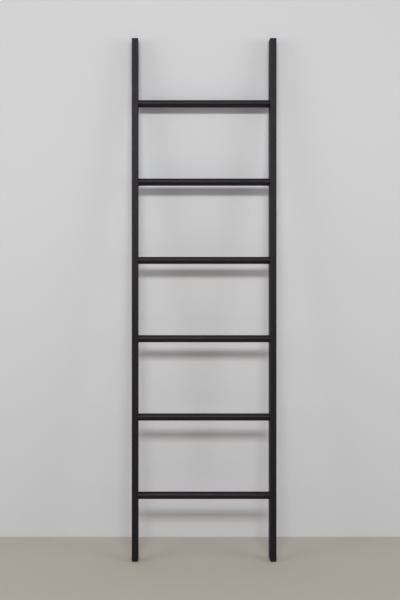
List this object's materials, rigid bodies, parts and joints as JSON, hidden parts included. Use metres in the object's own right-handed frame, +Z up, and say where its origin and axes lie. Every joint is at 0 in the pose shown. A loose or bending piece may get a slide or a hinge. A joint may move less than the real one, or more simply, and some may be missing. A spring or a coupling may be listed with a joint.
{
  "type": "towel ladder",
  "caption": "Black wooden ladder that leans against a wall, with slim rectangular rails and round rungs to hang towels on.",
  "frame": {"origin": "on the floor, at the middle of the box round the leaning ladder, between its front and the wall", "axes": "+X across the ladder to the right as seen from the front, +Y from the front towards the wall, +Z up"},
  "size_m": [0.4976, 0.1817, 1.7952],
  "materials": {
    "rail_lacquer": "ash stained black, satin lacquer with the grain faintly open",
    "rung_lacquer": "turned ash stained black, satin lacquer",
    "wedge_lacquer": "hardwood wedge stained black, satin lacquer, its sawn end flush with the rail",
    "pad_rubber": "matt black rubber with fine grooves"
  },
  "bodies": {
    "root": {"left_foot_pad": "pad_rubber", "left_rail": "rail_lacquer", "left_wall_pad": "pad_rubber", "left_wedge_1": "wedge_lacquer", "left_wedge_2": "wedge_lacquer", "left_wedge_3": "wedge_lacquer", "left_wedge_4": "wedge_lacquer", "left_wedge_5": "wedge_lacquer", "left_wedge_6": "wedge_lacquer", "right_foot_pad": "pad_rubber", "right_rail": "rail_lacquer", "right_wall_pad": "pad_rubber", "right_wedge_1": "wedge_lacquer", "right_wedge_2": "wedge_lacquer", "right_wedge_3": "wedge_lacquer", "right_wedge_4": "wedge_lacquer", "right_wedge_5": "wedge_lacquer", "right_wedge_6": "wedge_lacquer", "rung_1": "rung_lacquer", "rung_2": "rung_lacquer", "rung_3": "rung_lacquer", "rung_4": "rung_lacquer", "rung_5": "rung_lacquer", "rung_6": "rung_lacquer"}
  },
  "joints": []
}
